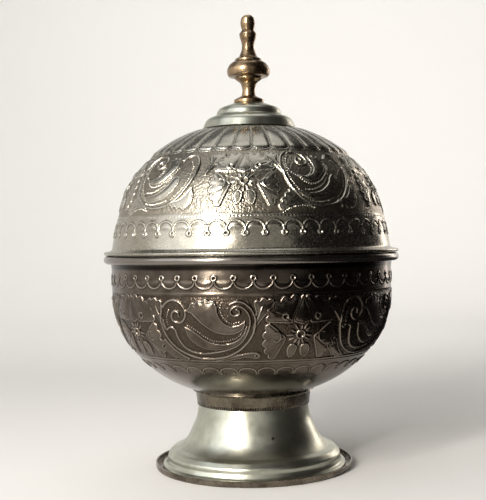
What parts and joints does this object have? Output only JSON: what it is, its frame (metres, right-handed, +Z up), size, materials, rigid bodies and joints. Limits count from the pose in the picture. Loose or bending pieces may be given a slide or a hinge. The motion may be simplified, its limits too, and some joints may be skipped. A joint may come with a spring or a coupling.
{
  "type": "lidded footed bowl",
  "caption": "Round metal bowl on a trumpet foot with a domed lid that lifts off its rolled rim by a turned finial.",
  "frame": {"origin": "middle of the base plate's underside, on the surface that the bowl stands on", "axes": "+Z up along the axis of the bowl and its finial, -Y towards the side seen in the picture"},
  "size_m": [0.2, 0.2, 0.3072],
  "materials": {
    "tinned_sheet": "tinned copper alloy sheet, beaten and spun, worn silver-grey with brown patina in the ornament",
    "dark_sheet": "copper alloy sheet with a dark warm brown patina, rubbed brighter on raised places",
    "turned_brass": "turned brass, aged to a bronze brown",
    "iron": "plain iron, dulled"
  },
  "bodies": {
    "base": {"base_pan": "tinned_sheet", "foot": "tinned_sheet", "neck_collar": "dark_sheet", "bowl": "dark_sheet", "bowl_rim_wire": "iron"},
    "lid": {"lid_dome": "tinned_sheet", "lid_bezel": "tinned_sheet", "lid_cap": "tinned_sheet", "finial_base": "turned_brass", "finial_stem": "turned_brass", "finial_bulb": "turned_brass", "finial_spindle": "turned_brass", "finial_knob": "turned_brass", "finial_rod": "iron", "finial_washer": "iron", "finial_nut": "iron"}
  },
  "joints": [
    {"name": "lid_lift", "type": "slide", "parent": "base", "child": "lid", "axis": [0, 0, 1], "range_m": [0, 0.08]}
  ]
}
